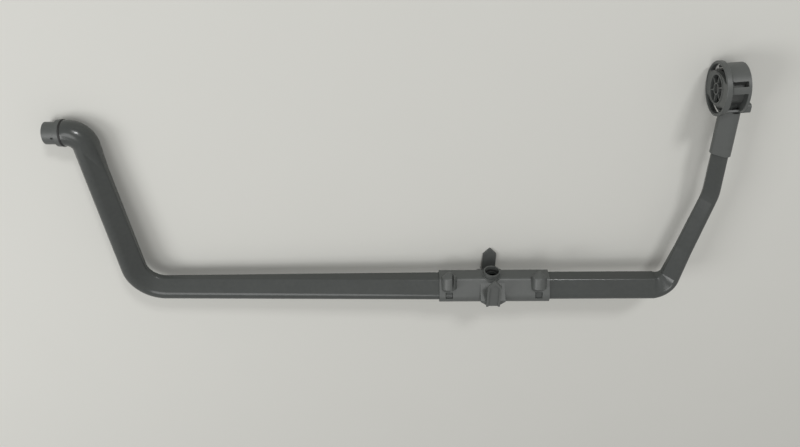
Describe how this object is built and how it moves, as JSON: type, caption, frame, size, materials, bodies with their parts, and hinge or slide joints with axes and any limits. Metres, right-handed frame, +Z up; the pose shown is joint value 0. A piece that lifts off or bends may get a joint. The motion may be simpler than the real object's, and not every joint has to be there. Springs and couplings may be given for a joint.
{
  "type": "dishwasher wash arm",
  "caption": "C-shaped hollow feed pipe for a dishwasher, with a round inlet spigot, a clip-on docking port with guide tongues and a spinning ceiling spray head.",
  "frame": {"origin": "centre of the inlet spigot's mouth", "axes": "+X along the pipe's long run, +Y towards the free ends of the two legs, +Z up with the pipe lying flat"},
  "size_m": [0.6015, 0.2492, 0.0536],
  "materials": {
    "pipe_plastic": "semi-gloss moulded polypropylene",
    "dock_plastic": "satin moulded polypropylene",
    "head_plastic": "satin moulded polypropylene",
    "seal_rubber": "matte",
    "axle_plastic": "smooth acetal",
    "washer_plastic": "matte"
  },
  "bodies": {
    "pipe": {"feed_tube": "pipe_plastic", "inlet_spigot": "head_plastic", "inlet_seal": "seal_rubber", "dock_saddle": "dock_plastic", "dock_gasket": "seal_rubber", "spray_head_body": "head_plastic", "rotor_axle": "axle_plastic", "thrust_washer": "washer_plastic"},
    "rotor": {"spray_rotor": "head_plastic"}
  },
  "joints": [
    {"name": "rotor_spin", "type": "hinge", "parent": "pipe", "child": "rotor", "pos_m": [0.56865, 0.03797, 0], "axis": [0.9978, 0.0668, 0], "continuous": true}
  ]
}
